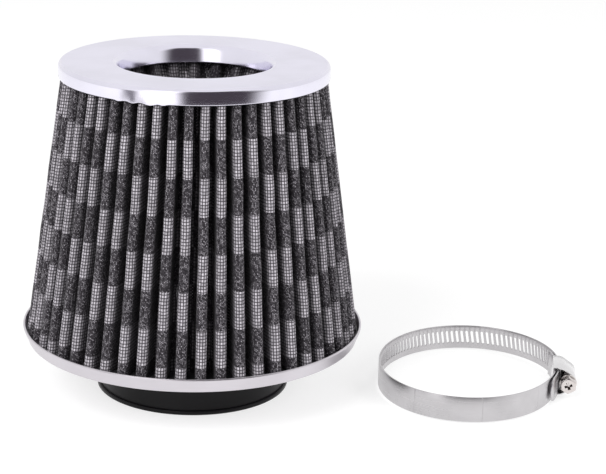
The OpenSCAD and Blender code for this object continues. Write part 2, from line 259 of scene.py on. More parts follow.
def checked_gauze(name):
    """Black cotton with pale threads in a check: full dots in one cell, twill flecks in the next."""
    material, tree, shader = new_surface(name)
    cloth = tree.add("ShaderNodeAttribute", {"attribute_name": "thread"}).out("Vector")
    pleat, across, along = tree.parts(cloth)
    place = own_place(tree)
    z = tree.parts(place)[2]
    wander = tree.noise(place, 70.0, 2.0) - 0.5
    row = ((z + wander * 0.0012 - CHECK_LOW_Z) / CHECK_ROW).floor()
    column = ((pleat + wander * 0.05) / CHECK_PLEATS).floor()
    lit_cell = (row + column) % 2.0

    # Threads: every crossing is a pale dot between black gaps.
    ripple = (tree.noise(place, 210.0, 2.0) - 0.5) * 0.35
    weft = across / THREAD_ACROSS + ripple
    warp = along / THREAD_DOWN + ripple
    dot_x = abs(weft.fraction() - 0.5)
    dot_y = abs(warp.fraction() - 0.5)
    dot = (1.0 - dot_x.ramp(0.20, 0.47)) * (1.0 - dot_y.ramp(0.24, 0.49))
    thread = tree.add("ShaderNodeTexWhiteNoise", {"noise_dimensions": "2D"},
                      {"Vector": tree.vector(weft.floor(), warp.floor(), 0.0)}).out(0)
    speck_x = weft * 2.0
    speck_y = warp * 2.0 + weft
    chance = tree.add("ShaderNodeTexWhiteNoise", {"noise_dimensions": "2D"},
                      {"Vector": tree.vector(speck_x.floor(), speck_y.floor(), 0.5)}).out(0)
    speck = 1.0 - abs(speck_x.fraction() - 0.5).ramp(0.20, 0.46)
    speck = speck * (1.0 - abs(speck_y.fraction() - 0.5).ramp(0.20, 0.46))
    bright = dot * (0.50 + thread * 0.44) + 0.045
    dim = speck * chance * chance * 0.62 + 0.016

    # Painted shade: the flanks of each fold are darkened, and only the crown keeps its full pale
    # pattern.
    from_crown = abs(pleat.fraction() - 0.5)
    flank_shade = 1.0 - from_crown.ramp(0.04, 0.19) * 0.74
    pale = tree.between(lit_cell, dim, bright) * flank_shade

    black = (0.0075, 0.0050, 0.0085)
    grey = (0.69, 0.65, 0.71)
    tree.fill(shader.inputs["Base Color"], tree.colour(pale, black, grey))
    tree.fill(shader.inputs["Roughness"], 0.86 - pale * 0.16)
    relief(tree, shader, dot + thread * 0.15, 0.00025, 0.7)
    set_constants(shader, Sheen_Weight=0.04)
    return material


WIRE_SPACING = 1.3 * MM
# Radius at which the upright wires have that spacing too
WIRE_RADIUS = 50.0 * MM


def wire_cloth(name):
    """Fine woven wire over dark fabric, as the clean side of the pleats shows."""
    material, tree, shader = new_surface(name)
    place = own_place(tree)
    x, y, z = tree.parts(place)
    turn = tree.maths("ARCTAN2", y, x)
    across = abs((turn * WIRE_RADIUS / WIRE_SPACING).fraction() - 0.5).ramp(0.30, 0.44)
    down = abs((z / WIRE_SPACING).fraction() - 0.5).ramp(0.30, 0.44)
    wire = across.at_least(down)
    dark_cloth, bright_wire = (0.012, 0.011, 0.013), (0.52, 0.52, 0.54)
    tree.fill(shader.inputs["Base Color"], tree.colour(wire, dark_cloth, bright_wire))
    tree.fill(shader.inputs["Metallic"], wire)
    tree.fill(shader.inputs["Roughness"], 0.85 - wire * 0.45)
    relief(tree, shader, wire, 0.0002, 0.8)
    return material


polished = spun_metal("polished_aluminium", (0.84, 0.82, 0.93), 0.34, 0.15)
satin = spun_metal("satin_aluminium", (0.665, 0.635, 0.675), 0.36, 0.32)
gauze = checked_gauze("filter_fabric")
cone_gauze = checked_gauze("inner_filter_fabric")
screen_wire = wire_cloth("screen_wire")
sealant = moulded_rubber("sealant", (0.03, 0.029, 0.032), 0.42, 700.0)
neck_rubber = moulded_rubber("neck_rubber", (0.0038, 0.0034, 0.0044), 0.36, shine=0.20)
clamp_steel = rolled_steel("clamp_steel", (0.60, 0.585, 0.60), 0.30)
housing_steel = rolled_steel("housing_steel", (0.87, 0.86, 0.87), 0.25, (500.0, 30.0, 500.0))
screw_steel = rolled_steel("screw_steel", (0.76, 0.72, 0.70), 0.24, (300.0, 300.0, 300.0))
# The head's cross recess gets a painted shade colour.
head_steel = rolled_steel("head_steel", (0.74, 0.69, 0.675), 0.27, (300.0, 300.0, 300.0),
                          recess_shade=(0.10, 0.065, 0.05))
plated_steel = rolled_steel("plated_steel", (0.66, 0.66, 0.68), 0.36, (90.0, 90.0, 90.0))


# ---------------------------------------------------------------- mesh helpers

def link(name, mesh, material):
    piece = bpy.data.objects.new(name, mesh)
    bpy.context.scene.collection.objects.link(piece)
    mesh.materials.clear()
    mesh.materials.append(material)
    return piece


def smooth(mesh, angle=35.0):
    mesh.shade_smooth()
    mesh.set_sharp_from_angle(angle=math.radians(angle))


def baked(piece):
    """Turns a piece's live modifiers into plain mesh, and takes them off."""
    bpy.context.view_layer.update()
    graph = bpy.context.evaluated_depsgraph_get()
    mesh = bpy.data.meshes.new_from_object(piece.evaluated_get(graph))
    piece.modifiers.clear()
    piece.data = mesh
    return piece


def arc(cx, cy, r, start, end, steps):
    """Points on an arc, from one angle to another in degrees."""
    turns = [math.radians(start + (end - start) * i / steps) for i in range(steps + 1)]
    return [(cx + r * math.cos(a), cy + r * math.sin(a)) for a in turns]


def turned(name, outline, material, steps):
    """A closed outline of (radius, height) points, turned round the filter's axis."""
    mesh = bpy.data.meshes.new(name)
    count = len(outline)
    points = []
    for i in range(steps):
        a = 2 * math.pi * i / steps
        points += [(r * math.cos(a), r * math.sin(a), z) for r, z in outline]
    faces = []
    for i in range(steps):
        here, after = i * count, (i + 1) % steps * count
        for j in range(count):
            k = (j + 1) % count
            faces.append((here + j, after + j, after + k, here + k))
    mesh.from_pydata(points, [], faces)
    face_outwards(mesh)
    smooth(mesh)
    return link(name, mesh, material)


def face_outwards(mesh, merge=1e-7):
    work = bmesh.new()
    work.from_mesh(mesh)
    bmesh.ops.remove_doubles(work, verts=work.verts, dist=merge)
    bmesh.ops.recalc_face_normals(work, faces=work.faces)
    work.to_mesh(mesh)
    work.free()


def mesh_of(name, work):
    """A mesh made from the finished work, which is then freed."""
    mesh = bpy.data.meshes.new(name)
    work.to_mesh(mesh)
    work.free()
    return mesh


def empty_piece(name):
    piece = bpy.data.objects.new(name, bpy.data.meshes.new(name))
    bpy.context.scene.collection.objects.link(piece)
    return piece


def fill_between(work, outline, hole, place, normal):
    """Fills the flat area between an outline and a hole in it."""
    edges = []
    for loop in (outline, hole):
        corners = [work.verts.new(place(*point)) for point in loop]
        edges += [work.edges.new((corners[i - 1], corners[i])) for i in range(len(corners))]
    bmesh.ops.triangle_fill(work, edges=edges, use_beauty=True, normal=normal)


def thicken(piece, thickness, offset):
    wall = piece.modifiers.new("wall", "SOLIDIFY")
    wall.thickness = thickness
    wall.offset = offset


def soften_edges(piece, width, angle):
    edge = piece.modifiers.new("edge", "BEVEL")
    edge.width = width
    edge.segments = 2
    edge.limit_method = "ANGLE"
    edge.angle_limit = math.radians(angle)


def combine(piece, name, operation, other):
    step = piece.modifiers.new(name, "BOOLEAN")
    step.operation = operation
    step.solver = "EXACT"
    step.object = other


def tree_inputs(group, labels, whole):
    """Gives a Geometry Nodes group its numbers and its material. The whole numbers are named."""
    sizes = {}
    for label in labels:
        kind = "NodeSocketInt" if label in whole else "NodeSocketFloat"
        sizes[label] = group.interface.new_socket(label, in_out="INPUT", socket_type=kind)
    finish = group.interface.new_socket("Finish", in_out="INPUT", socket_type="NodeSocketMaterial")
    group.interface.new_socket("Geometry", in_out="OUTPUT", socket_type="NodeSocketGeometry")
    return sizes, finish


def finish_piece(piece, body, slot, *nodes):
    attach(piece, body)
    if nodes:
        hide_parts(*nodes)


# ---------------------------------------------------------------- filter body

TOP_LOW, TOP_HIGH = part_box("top_ring")
BASE_LOW, BASE_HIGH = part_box("base_ring")
FABRIC_LOW, FABRIC_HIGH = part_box("outer_fabric")
CONE_LOW, CONE_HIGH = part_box("inner_fabric")
NECK_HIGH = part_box("neck")[1]

TOP_SHEET = 0.8 * MM
TOP_EDGE = 1.9 * MM
TOP_SKIRT = 6.6 * MM
# Azimuth and half width in degrees, and drop, of each uneven spot in the crimped hem
HEM_DROPS = ((-122.0, 2.6, 0.45 * MM), (-115.5, 3.0, 0.6 * MM), (-108.0, 4.2, 0.8 * MM),
             (-102.6, 2.4, 0.5 * MM))
THROAT_R = 32.4 * MM
THROAT_LIP = 3.2 * MM
THROAT_LEAN = 17.0
NECK_WALL_R = 43.1 * MM


def uneven_hem(mesh, inner, height):
    """Lets the skirt's hem hang a little lower where it was crimped unevenly."""
    for v in mesh.vertices:
        if v.co.z > height or v.co.xy.length < inner:
            continue
        azimuth = math.degrees(math.atan2(v.co.y, v.co.x))
        for middle, half, drop in HEM_DROPS:
            away = min(1.0, abs(azimuth - middle) / half)
            v.co.z -= drop * math.cos(away * math.pi / 2) ** 2


def top_ring():
    """The pressed top: skirt, rounded edge, flat, rolled lip and throat."""
    outer = TOP_HIGH.x
    top = TOP_HIGH.z
    low = TOP_LOW.z
    skirt = top - TOP_SKIRT
    hem = TOP_SHEET / 2
    lean = math.radians(THROAT_LEAN)
    lip_z = top - THROAT_LIP
    wall_top = lip_z + THROAT_LIP * math.sin(lean)
    lip_x = THROAT_R + (wall_top - low) * math.tan(lean) + THROAT_LIP * math.cos(lean)
    outline = arc(outer - hem, skirt + hem, hem, 180, 360, 6)
    outline += arc(outer - TOP_EDGE, top - TOP_EDGE, TOP_EDGE, 0, 90, 12)
    outline += arc(lip_x, lip_z, THROAT_LIP, 90, 180 - THROAT_LEAN, 14)
    outline += arc(THROAT_R + hem, low + hem, hem, 180 - THROAT_LEAN, 360 - THROAT_LEAN, 6)
    outline += arc(lip_x, lip_z, THROAT_LIP - TOP_SHEET, 180 - THROAT_LEAN, 90, 10)
    outline += arc(outer - TOP_EDGE, top - TOP_EDGE, TOP_EDGE - TOP_SHEET, 90, 0, 8)
    piece = turned("top_cap", outline, polished, 360)
    uneven_hem(piece.data, outer - 2 * hem, skirt + 2 * hem)
    finish_piece(piece, "filter", "polished_aluminium", "top_ring")


def base_ring():
    """The band round the foot of the pleats, with a rolled lip and a flat floor."""
    sheet = 0.6 * MM
    lip = 0.6 * MM
    edge = 1.2 * MM
    flare = 1.3 * MM
    low = BASE_LOW.z
    top = BASE_HIGH.z
    lip_x = BASE_HIGH.x - lip
    low_x = lip_x - flare
    hole = NECK_WALL_R + 0.1 * MM
    outline = [(hole, low)]
    outline += arc(low_x - edge, low + edge, edge, -90, 0, 8)
    outline += arc(lip_x, top - lip, lip, -20, 190, 12)
    outline += arc(low_x - edge, low + edge, edge - sheet, 0, -90, 6)
    outline += [(hole, low + sheet)]
    piece = turned("base_band", outline, satin, 288)
    finish_piece(piece, "filter", "satin_aluminium", "base_ring")


def neck():
    """The rubber sleeve: a straight wall, a groove and a rounded bead at its mouth."""
    bore = 38.0 * MM
    wall = NECK_WALL_R
    bead = wall + 1.2 * MM
    bead_h = 2.0 * MM
    round_r = 0.6 * MM
    flange_h = 2.0 * MM
    seat = NECK_HIGH.z - flange_h
    outline = arc(bore + round_r, round_r, round_r, 180, 270, 5)
    outline += arc(bead - round_r, round_r, round_r, -90, 0, 6)
    outline += arc(bead - round_r, bead_h - round_r, round_r, 0, 90, 6)
    outline += [(wall + 0.05 * MM, bead_h), (wall, bead_h + 0.4 * MM)]
    outline += [(wall, seat), (NECK_HIGH.x, seat), (NECK_HIGH.x, NECK_HIGH.z)]
    outline += [(bore, NECK_HIGH.z)]
    piece = turned("neck_sleeve", outline, neck_rubber, 256)
    finish_piece(piece, "filter", "neck_rubber", "neck")


# ---------------------------------------------------------------- pleats

# Grid steps in one pleat
PLEAT_STEPS = 24
# Thickness of the cloth
CLOTH = 0.7 * MM


def pleat_tree():
    """Folds a flat grid into a cone of round-nosed pleats."""
    group = bpy.data.node_groups.new("pleated_cone", "GeometryNodeTree")
    sizes, finish = tree_inputs(
        group, ("Pleats", "Rows", "Lower radius", "Upper radius", "Depth", "Lower height",
                "Upper height", "Ridge share", "First ridge", "Turn", "Cloth a pleat", "Unevenness"),
        whole=("Pleats", "Rows"))
    tree = Tree(group)
    given = tree.add("NodeGroupInput")
    pleats = given.out("Pleats")
    grid = tree.add("GeometryNodeMeshGrid", None, {
        "Size X": pleats, "Size Y": 1.0,
        "Vertices X": pleats * PLEAT_STEPS + 1, "Vertices Y": given.out("Rows")})
    x, y, _ = tree.parts(tree.add("GeometryNodeInputPosition").out())
    column = x + pleats * 0.5
    height = y + 0.5
    pitch = tree.maths("DIVIDE", 2 * math.pi, pleats)

    # Each half pleat runs over its nose, down its flank and round its root.
    number = (column - 0.0001).floor().at_least(0.0)
    fold = (column - number) * 6.0 - 3.0
    side = fold.sign()
    run = abs(fold)
    nose = run.at_most(1.0)
    flank = (run - 1.0).at_least(0.0).at_most(1.0)
    root = (run - 2.0).at_least(0.0).at_most(1.0)
    lower_r = given.out("Lower radius")
    ridge_r = lower_r + (given.out("Upper radius") - lower_r) * height
    ridge_half = pitch * given.out("Ridge share") * 0.5
    root_half = pitch * 0.5 - ridge_half
    depth = given.out("Depth")
    nose_r = ridge_r * ridge_half
    root_r = (ridge_r - depth) * root_half
    straight = depth - nose_r - root_r
    quarter = math.pi / 2
    a = ridge_half * (nose * quarter).sine() + root_half * (1.0 - (root * quarter).cosine())
    inset = (nose_r * (1.0 - (nose * quarter).cosine()) + straight * flank
             + root_r * (root * quarter).sine())
    lower_z = given.out("Lower height")
    z = lower_z + (given.out("Upper height") - lower_z) * height
    middle = given.out("First ridge") + given.out("Turn") * (1.0 - height) + number * pitch

    # Every fold strays a little from its place, and less so where its ends are cast in.
    stray = given.out("Unevenness") * (height * math.pi).sine().at_least(0.0) ** 0.5
    spot = tree.vector(middle.cosine() * 0.06, middle.sine() * 0.06, z)
    sway = (tree.noise(spot, 38.0, 1.0) - 0.5) * stray
    elsewhere = tree.add("ShaderNodeVectorMath", {"operation": "ADD"}, {0: spot, 1: (0.31, 0.17, 0.05)})
    swell = (tree.noise(elsewhere.out(), 55.0, 2.0) - 0.5) * stray
    turn = middle + side * a * (1.0 + swell * 110.0) + sway / ridge_r
    r = ridge_r - inset + swell * (1.0 - nose * 0.3)

    # Lengths along the cloth, kept for the weave before the grid is folded.
    arc_length = nose_r * quarter * nose + straight * flank + root_r * quarter * root
    whole = nose_r * quarter + straight + root_r * quarter
    pleat_place = number + 0.5 + side * arc_length / whole * 0.5
    across = pleat_place * given.out("Cloth a pleat")
    store = "GeometryNodeStoreNamedAttribute"
    named = tree.add(store, {"data_type": "FLOAT2", "domain": "CORNER"}, {
        "Geometry": grid.out("Mesh"), "Name": "cloth", "Value": tree.vector(across, z, 0.0)})
    kept = tree.add(store, {"data_type": "FLOAT_VECTOR", "domain": "CORNER"}, {
        "Geometry": named.out(), "Name": "thread", "Value": tree.vector(pleat_place, across, z)})
    moved = tree.add("GeometryNodeSetPosition", None, {
        "Geometry": kept.out(), "Position": tree.vector(turn.cosine() * r, turn.sine() * r, z)})
    real = tree.add("GeometryNodeRealizeInstances", None, {0: moved.out()})
    done = tree.add("GeometryNodeSetMaterial", None,
                    {"Geometry": real.out(), "Material": given.out("Finish")})
    tree.add("NodeGroupOutput", None, {"Geometry": done.out()})
    return group, sizes, finish


PLEATS, PLEAT_SIZES, PLEAT_FINISH = pleat_tree()


def pleated(name, material, **sizes):
    """Runs the pleat tree with these sizes, closes its seam and gives the cloth its thickness."""
    piece = empty_piece(name)
    folds = piece.modifiers.new("folds", "NODES")
    folds.node_group = PLEATS
    for label, value in sizes.items():
        folds[PLEAT_SIZES[label.replace("_", " ")].identifier] = value
    folds[PLEAT_FINISH.identifier] = material
    baked(piece)
    face_outwards(piece.data, 0.00002)
    thicken(piece, CLOTH, -1.0)
    baked(piece)
    smooth(piece.data, 60.0)
    return piece


def outer_pleats():
    count = 54
    cloth_a_pleat = 29.4 * MM
    # The seam lies at the back.
    first_ridge = -85.4 - 26 * 360 / count
    piece = pleated(
        "outer_pleats", gauze, Pleats=count, Rows=22,
        Lower_radius=FABRIC_HIGH.x, Upper_radius=58.9 * MM, Depth=12.7 * MM,
        Lower_height=FABRIC_LOW.z, Upper_height=FABRIC_HIGH.z, Ridge_share=0.56,
        First_ridge=math.radians(first_ridge), Turn=math.radians(-2.0),
        Cloth_a_pleat=cloth_a_pleat, Unevenness=0.9 * MM)
    finish_piece(piece, "filter", "filter_fabric", "outer_fabric")


def inner_pleats():
    count = 22
    cloth_a_pleat = 18.0 * MM
    piece = pleated(
        "inner_pleats", cone_gauze, Pleats=count, Rows=14,
        Lower_radius=20.6 * MM, Upper_radius=44.0 * MM, Depth=6.6 * MM,
        Lower_height=CONE_LOW.z, Upper_height=CONE_HIGH.z, Ridge_share=0.5,
        First_ridge=0.0, Turn=0.0, Cloth_a_pleat=cloth_a_pleat, Unevenness=0.5 * MM)
    finish_piece(piece, "filter", "filter_fabric", "inner_fabric")


top_ring()
base_ring()
neck()
outer_pleats()
inner_pleats()


# ---------------------------------------------------------------- clamp band

CLAMP_CENTRE = Vector((128.75, -6.25)) * MM
CLAMP_R = 44.7 * MM
# How far the loop strays from round, and the azimuth in degrees at which it is widest
CLAMP_OVAL = 3.0 * MM
CLAMP_OVAL_AZ = 73.1
HOUSING_AZ = -6.0
BAND_W = 11.6 * MM
BAND_T = 0.6 * MM
LAYER_GAP = 0.9 * MM
LAYER_STEP = BAND_T + LAYER_GAP
CLAMP_LIFT = 0.9 * MM
# Places along the strip are in degrees of loop, counted from the housing.
A_DEGREE = CLAMP_R * math.pi / 180
SLOT_ANGLE = 3.0
SLOT_SIZE = (1.15 * MM, 6.2 * MM)
SLOT_SLANT = 9.0
SLOT_FIRST = 174.0
SLOT_LAST = 384.0
BAND_ENDS = [-23.0] + [45.0 + 39.0 * i for i in range(8)] + [390.0]
BAND_COUNT = len(BAND_ENDS) - 1
TONGUE_ANGLE = 5.4


def strip_radius(run):
    """Radius of the band's middle at a run of degrees from the housing."""
    oval = CLAMP_OVAL * math.cos(math.radians(2 * (HOUSING_AZ - run - CLAMP_OVAL_AZ)))
    return CLAMP_R - BAND_T / 2 + oval + LAYER_STEP * (run / 360 - 0.5)


def slot_cell():
    """One flat length of band with a round-ended slot in it."""
    work = bmesh.new()
    width = A_DEGREE * SLOT_ANGLE
    half_w, half_h = width / 2, BAND_W / 2
    rim = [(-half_w, -half_h), (half_w, -half_h), (half_w, half_h), (-half_w, half_h)]
    r = SLOT_SIZE[0] / 2
    straight = SLOT_SIZE[1] / 2 - r
    hole = arc(0, straight, r, 0, 180, 6) + arc(0, -straight, r, 180, 360, 6)
    slant = Matrix.Rotation(math.radians(SLOT_SLANT), 2)
    hole = [tuple(slant @ Vector(p)) for p in hole]
    fill_between(work, rim, hole, lambda px, py: (px, py, 0), (0, 0, 1))
    cell = bpy.data.objects.new("slot_cell", mesh_of("slot_cell", work))
    bpy.context.scene.collection.objects.link(cell)
    return cell


def band_tree(cell):
    """Lays out a plain stretch and a slotted stretch, and bends both along the loop."""
    group = bpy.data.node_groups.new("clamp_band", "GeometryNodeTree")
    labels = ("From", "Plain to", "Slots", "Tongue", "To")
    sizes, finish = tree_inputs(group, labels, whole=("Slots",))
    tree = Tree(group)
    given = tree.add("NodeGroupInput")
    start, plain_to, slots, tongue, end = (given.out(label) for label in labels)

    def plain(low, high):
        length = (high - low) * A_DEGREE
        grid = tree.add("GeometryNodeMeshGrid", None, {
            "Size X": length, "Size Y": BAND_W,
            "Vertices X": (high - low).at_least(1.0) + 1.0, "Vertices Y": 2})
        shift = tree.vector((low + high) * 0.5 * A_DEGREE, 0.0, 0.0)
        return tree.add("GeometryNodeTransform", None,
                        {"Geometry": grid.out("Mesh"), "Translation": shift})

    slots_end = plain_to + slots * SLOT_ANGLE
    first_slot = tree.vector((plain_to + SLOT_ANGLE / 2) * A_DEGREE, 0.0, 0.0)
    line = tree.add("GeometryNodeMeshLine", None, {
        "Count": slots, "Start Location": first_slot, "Offset": (SLOT_ANGLE * A_DEGREE, 0.0, 0.0)})
    source = tree.add("GeometryNodeObjectInfo", None, {"Object": cell})
    row = tree.add("GeometryNodeInstanceOnPoints", None,
                   {"Points": line.out(), "Instance": source.out("Geometry")})
    real = tree.add("GeometryNodeRealizeInstances", None, {0: row.out()})
    both = tree.add("GeometryNodeJoinGeometry")
    for part in (plain(start, plain_to), real, plain(slots_end, end)):
        tree.fill(both.node.inputs[0], part.out())
    welded = tree.add("GeometryNodeMergeByDistance", None,
                      {"Geometry": both.out(), "Distance": 0.01 * MM})

    x, y, _ = tree.parts(tree.add("GeometryNodeInputPosition").out())
    run = x / A_DEGREE
    tip = ((run - end) / TONGUE_ANGLE + 1.0).at_least(0.0).at_most(1.0)
    narrow = (1.0 - tip * tip * tongue * 0.9) ** 0.5
    turn = (HOUSING_AZ - run) * (math.pi / 180)
    oval = ((turn - math.radians(CLAMP_OVAL_AZ)) * 2.0).cosine() * CLAMP_OVAL
    r = oval + (run / 360.0 - 0.5) * LAYER_STEP + (CLAMP_R - BAND_T / 2)
    on_loop = tree.vector(turn.cosine() * r + CLAMP_CENTRE.x, turn.sine() * r + CLAMP_CENTRE.y,
                          y * narrow + (CLAMP_LIFT + BAND_W / 2))
    bent = tree.add("GeometryNodeSetPosition", None, {"Geometry": welded.out(), "Position": on_loop})
    done = tree.add("GeometryNodeSetMaterial", None,
                    {"Geometry": bent.out(), "Material": given.out("Finish")})
    tree.add("NodeGroupOutput", None, {"Geometry": done.out()})
    return group, sizes, finish


def clamp_band():
    """The strip in its nine lengths. The first one belongs to the housing's body."""
    cell = slot_cell()
    group, sizes, finish = band_tree(cell)
    for i in range(BAND_COUNT):
        start, end = BAND_ENDS[i], BAND_ENDS[i + 1]
        plain_to = min(max(start, SLOT_FIRST), end)
        slots = int(max(0, min(end, SLOT_LAST) - plain_to) / SLOT_ANGLE)
        tongue = 1.0 if i == BAND_COUNT - 1 else 0.0
        values = {"From": start, "Plain to": plain_to, "Slots": slots, "Tongue": tongue, "To": end}
        name = f"band_{i + 1}"
        piece = empty_piece(name)
        curl = piece.modifiers.new("curl", "NODES")
        curl.node_group = group
        for label, value in values.items():
            curl[sizes[label].identifier] = value
        curl[finish.identifier] = clamp_steel
        thicken(piece, BAND_T, 0.0)
        soften_edges(piece, 0.09 * MM, 50)
        baked(piece)
        smooth(piece.data, 40.0)
        body = "clamp_housing" if i == 0 else name
        finish_piece(piece, body, "clamp_steel", f"clamp_band_{i + 1}")
    bpy.data.objects.remove(cell)


clamp_band()


# ---------------------------------------------------------------- clamp housing and screw

HOUSING_L = 16.5 * MM
HOUSING_T = 0.6 * MM
EDGE_GAP = 0.3 * MM
THREAD_GAP = 0.7 * MM
THREAD_R = 3.0 * MM
THREAD_DEPTH = 0.6 * MM
THREAD_PITCH = SLOT_ANGLE * A_DEGREE
SCREW_X = THREAD_GAP + THREAD_R
TUNNEL_R = THREAD_R + EDGE_GAP
# The screw's plain ends
JOURNAL_R = 1.8 * MM
JOURNAL_FIT = 0.05 * MM
REAR_WALL_X = -0.2 * MM
AXIAL_GAP = 0.3 * MM
END_T = 0.8 * MM
SCREW_STEPS = 48
WASHER_R = 4.0 * MM
WASHER_T = 1.2 * MM
WASHER_ROUND = 0.2 * MM
HEAD_R = 4.0 * MM
HEAD_H = 3.8 * MM
RECESS_R = 2.7 * MM
RECESS_DEPTH = 2.0 * MM
RECESS_TURN = 20


def housing_place():
    """The housing's own frame: X out of the loop, -Y towards the screw's head, Z up."""
    r = strip_radius(360.0) + BAND_T / 2
    az = math.radians(HOUSING_AZ)
    slope = -2 * CLAMP_OVAL * math.sin(math.radians(2 * (HOUSING_AZ - CLAMP_OVAL_AZ)))
    slope -= LAYER_STEP / (2 * math.pi)
    turn = Matrix.Rotation(az - math.atan2(slope, r), 4, "Z")
    x = CLAMP_CENTRE.x + r * math.cos(az)
    y = CLAMP_CENTRE.y + r * math.sin(az)
    return Matrix.Translation((x, y, CLAMP_LIFT + BAND_W / 2)) @ turn


HOUSING_FRAME = housing_place()


def run_along(name, section, start, end, material):
    """A closed section of (out, up) points, run along the screw's direction. Its ends are open."""
    work = bmesh.new()
    loops = []
    for y in (-start, -end):
        loops.append([work.verts.new((px, y, pz)) for px, pz in section])
    count = len(section)
    for i in range(count):
        j = (i + 1) % count
        work.faces.new((loops[0][i], loops[0][j], loops[1][j], loops[1][i]))
    return link(name, mesh_of(name, work), material)


def bend(before, corner, after, size):
    """Points of a soft corner between two straight runs. The size is what it takes from each."""
    steps = 6
    before, corner, after = Vector(before), Vector(corner), Vector(after)
    start = corner + (before - corner).normalized() * size
    end = corner + (after - corner).normalized() * size
    points = []
    for i in range(steps + 1):
        t = i / steps
        point = start * (1 - t) ** 2 + corner * (2 * t * (1 - t)) + end * t ** 2
        points.append((point.x, point.y))
    return points


def add_end_wall(mesh, outline, start):
    """Adds a flat wall with a hole for the screw's plain end."""
    work = bmesh.new()
    hole = arc(SCREW_X, 0, JOURNAL_R + JOURNAL_FIT, 0, 350, 35)
    fill_between(work, outline, hole, lambda px, pz: (px, -start, pz), (0, 1, 0))
    grown = bmesh.ops.extrude_face_region(work, geom=work.faces[:])["geom"]
    for v in grown:
        if isinstance(v, bmesh.types.BMVert):
            v.co.y -= END_T
    work.from_mesh(mesh)
    bmesh.ops.recalc_face_normals(work, faces=work.faces[:])
    work.to_mesh(mesh)
    work.free()


def clamp_housing():
    """A pressed saddle that wraps both layers of band and tapers to a tunnel over the screw."""
    wz = BAND_W / 2 + EDGE_GAP + HOUSING_T
    sag = HOUSING_L ** 2 / (8 * CLAMP_R)
    low = -LAYER_STEP - BAND_T - sag - HOUSING_T
    shoulder = THREAD_GAP + HOUSING_T / 2
    tunnel = TUNNEL_R + HOUSING_T
    to_shoulder = Vector((shoulder - SCREW_X, wz))
    reach = math.atan2(to_shoulder.y, to_shoulder.x) - math.acos(tunnel / to_shoulder.length)
    reach = math.degrees(reach)
    roof = arc(SCREW_X, 0, tunnel, -reach, reach, 28)
    section = bend((low, 0), (low, -wz), (shoulder, -wz), 0.8 * MM)
    section += bend((low, -wz), (shoulder, -wz), roof[0], 1.6 * MM)
    section += roof
    section += bend(roof[-1], (shoulder, wz), (low, wz), 1.6 * MM)
    section += bend((shoulder, wz), (low, wz), (low, 0), 0.8 * MM)
    piece = run_along("housing_shell", section, -HOUSING_L / 2, HOUSING_L / 2, housing_steel)
    face_outwards(piece.data)
    thicken(piece, HOUSING_T, -1.0)
    soften_edges(piece, 0.12 * MM, 50)
    baked(piece)

    # The walls end in the middle of the shell's sheet.
    inner = wz - HOUSING_T / 2
    wall_r = tunnel - HOUSING_T / 2
    rear = [(REAR_WALL_X, -inner), (shoulder, -inner)]
    rear += arc(SCREW_X, 0, wall_r, -reach, reach, 20)
    rear += [(shoulder, inner), (REAR_WALL_X, inner)]
    opening = math.degrees(math.acos((THREAD_GAP - SCREW_X) / wall_r))
    front = arc(SCREW_X, 0, wall_r, -opening, opening, 28)
    add_end_wall(piece.data, rear, -HOUSING_L / 2)
    add_end_wall(piece.data, front, HOUSING_L / 2 - END_T)
    piece.data.transform(HOUSING_FRAME)
    smooth(piece.data)
    finish_piece(piece, "clamp_housing", "clamp_steel", "clamp_housing")


def screw_profile():
    """(along, radius) points of the screw from its rear end. The thread's own points have no radius."""
    rear, front = -HOUSING_L / 2, HOUSING_L / 2
    thread_start = rear + END_T + AXIAL_GAP
    thread_end = front - END_T - AXIAL_GAP
    root = THREAD_R - THREAD_DEPTH
    rows = 72
    profile = [(rear, 0.0), (rear, JOURNAL_R), (thread_start, JOURNAL_R), (thread_start, root)]
    profile += [(thread_start + (thread_end - thread_start) * i / rows, None) for i in range(1, rows)]
    washer = front + AXIAL_GAP
    washer_end = washer + WASHER_T
    profile += [(thread_end, root), (thread_end, JOURNAL_R), (washer, JOURNAL_R)]
    profile += [(washer, WASHER_R - WASHER_ROUND), (washer + WASHER_ROUND, WASHER_R)]
    profile += [(washer_end - WASHER_ROUND, WASHER_R), (washer_end, WASHER_R - WASHER_ROUND)]
    profile += [(washer_end, 0.0)]
    return profile, thread_start, thread_end, washer_end


def clamp_screw():
    """Threaded shank, washer and a hexagon head with a cross recess."""
    profile, thread_start, thread_end, washer_end = screw_profile()
    steps = SCREW_STEPS
    points, faces = [], []
    for along, r in profile:
        for i in range(steps):
            a = 2 * math.pi * i / steps
            here = r
            if r is None:
                wave = (along - thread_start) / THREAD_PITCH + i / steps
                crest = min(1.0, max(0.0, 2.4 * abs((wave % 1.0) - 0.5) * 2 - 0.7))
                from_start = (along - thread_start) / THREAD_PITCH
                from_end = (thread_end - along) / THREAD_PITCH
                fade = max(0.0, min(1.0, from_start, from_end))
                here = THREAD_R - THREAD_DEPTH + THREAD_DEPTH * crest * fade
            points.append((SCREW_X + here * math.cos(a), -along, here * math.sin(a)))
    for j in range(len(profile) - 1):
        here, after = j * steps, (j + 1) * steps
        for i in range(steps):
            k = (i + 1) % steps
            faces.append((here + i, here + k, after + k, after + i))
    mesh = bpy.data.meshes.new("screw")
    mesh.from_pydata(points, [], faces)
    face_outwards(mesh, 1e-6)
    piece = link("screw", mesh, screw_steel)
    piece.data.transform(HOUSING_FRAME)
    smooth(piece.data)
    finish_piece(piece, "clamp_screw", "screw_steel", "clamp_screw")

    head = hexagon_head(washer_end)
    head.data.transform(HOUSING_FRAME)
    finish_piece(head, "clamp_screw", "screw_steel")


